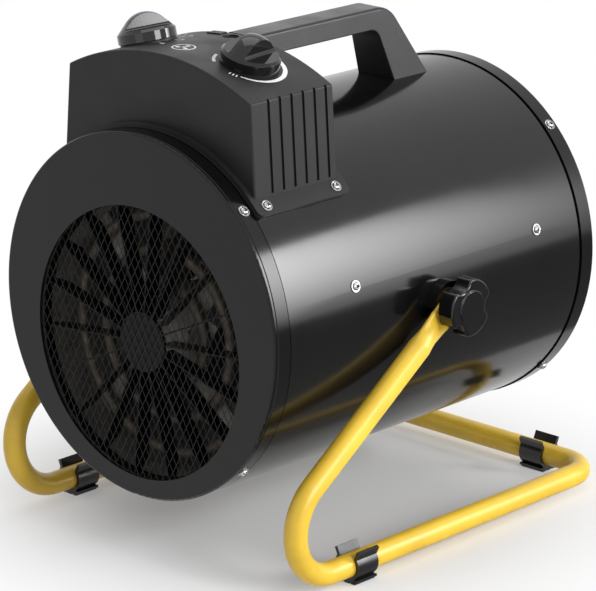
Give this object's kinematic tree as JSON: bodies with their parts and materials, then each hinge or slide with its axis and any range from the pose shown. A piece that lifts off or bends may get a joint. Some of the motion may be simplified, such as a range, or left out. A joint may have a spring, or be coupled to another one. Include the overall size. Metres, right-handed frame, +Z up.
{
  "type": "forced air heater",
  "caption": "Round electric fan heater: a black steel casing with a netted air outlet, control box and carrying handle, tilting in a bent yellow tube stand.",
  "frame": {"origin": "centre of the bounding box on the floor under the rubber feet", "axes": "+Z up; the air leaves towards -Y; +X is across the heater, on the right of someone who stands in front of the outlet and looks at it"},
  "size_m": [0.306, 0.3445, 0.3624],
  "materials": {
    "stand_paint": "satin yellow powder coat",
    "clip_rubber": "moulded black rubber",
    "casing_paint": "semi-gloss black enamel",
    "cap_paint": "satin black enamel",
    "net_paint": "satin dark grey enamel",
    "guard_paint": "matt black heat-proof enamel",
    "galvanised": "heat-stained galvanised sheet",
    "element_steel": "heat-tinted steel tube",
    "ceramic": "glazed ceramic and porcelain",
    "box_plastic": "fine textured black plastic",
    "handle_plastic": "textured dark grey plastic",
    "knob_plastic": "glossy black plastic",
    "screw_chrome": "bright plated steel",
    "zinc_steel": "zinc plated steel",
    "motor_metal": "die-cast motor housing",
    "fan_metal": "dusty pressed aluminium sheet",
    "gland_nylon": "black nylon",
    "seal_rubber": "sheet rubber",
    "reset_plastic": "glossy dark plastic"
  },
  "bodies": {
    "stand": {"stand_frame": "stand_paint", "foot_clip_front_right": "clip_rubber", "foot_clip_front_left": "clip_rubber", "foot_clip_rear_right": "clip_rubber", "foot_clip_rear_left": "clip_rubber"},
    "housing": {"casing": "casing_paint", "front_cap": "cap_paint", "rear_cap": "cap_paint", "outlet_net": "net_paint", "net_clamp_ring": "net_paint", "outlet_rib_guard": "guard_paint", "heat_duct": "galvanised", "duct_brackets": "galvanised", "element_carrier": "galvanised", "motor": "motor_metal", "motor_mount": "galvanised", "thermal_cutout": "ceramic", "rear_guard": "net_paint", "control_box": "box_plastic", "box_gasket": "seal_rubber", "handle": "handle_plastic", "cable_gland": "gland_nylon", "gland_lock_nut": "gland_nylon", "terminal_block": "ceramic", "selector_switch": "box_plastic", "thermostat_body": "zinc_steel", "reset_guide": "gland_nylon", "element_terminals": "ceramic", "heating_element_inner": "element_steel", "heating_element_middle": "element_steel", "heating_element_outer": "element_steel", "front_band_screws": "screw_chrome", "rear_band_screws": "screw_chrome", "casing_side_screws": "screw_chrome", "flange_screws": "screw_chrome", "pivot_spacer_right": "knob_plastic", "pivot_nut_right": "zinc_steel", "pivot_spacer_left": "knob_plastic", "pivot_nut_left": "zinc_steel"},
    "fan": {"fan_impeller": "fan_metal", "fan_nut": "zinc_steel", "motor_shaft": "zinc_steel"},
    "selector": {"selector_knob": "knob_plastic", "selector_spindle": "zinc_steel"},
    "thermostat": {"thermostat_knob": "knob_plastic", "thermostat_spindle": "zinc_steel"},
    "clamp_right": {"clamp_knob_right": "knob_plastic", "clamp_stud_right": "zinc_steel"},
    "clamp_left": {"clamp_knob_left": "knob_plastic", "clamp_stud_left": "zinc_steel"},
    "reset": {"reset_button": "reset_plastic"}
  },
  "joints": [
    {"name": "casing_tilt", "type": "hinge", "parent": "stand", "child": "housing", "pos_m": [0, -0.00822, 0.1751], "axis": [1, 0, 0], "range_deg": [-15, 15]},
    {"name": "fan_spin", "type": "hinge", "parent": "housing", "child": "fan", "pos_m": [0, -0.05162, 0.1543], "axis": [0, 1, 0], "continuous": true},
    {"name": "selector_turn", "type": "hinge", "parent": "housing", "child": "selector", "pos_m": [-0.0465, -0.11313, 0.34205], "axis": [-0.2557, 0, 0.9668], "range_deg": [-30, 90]},
    {"name": "thermostat_turn", "type": "hinge", "parent": "housing", "child": "thermostat", "pos_m": [0.0465, -0.11313, 0.34205], "axis": [0.2557, 0, 0.9668], "range_deg": [-135, 135]},
    {"name": "clamp_turn_right", "type": "hinge", "parent": "housing", "child": "clamp_right", "pos_m": [0.1345, -0.00822, 0.1751], "axis": [1, 0, 0], "range_deg": [-180, 180]},
    {"name": "clamp_turn_left", "type": "hinge", "parent": "housing", "child": "clamp_left", "pos_m": [-0.1345, -0.00822, 0.1751], "axis": [-1, 0, 0], "range_deg": [-180, 180]},
    {"name": "reset_press", "type": "slide", "parent": "housing", "child": "reset", "axis": [0, 0, -1], "range_m": [0, 0.0015], "stiffness_N_per_m": 400, "springref_m": -0.001}
  ]
}
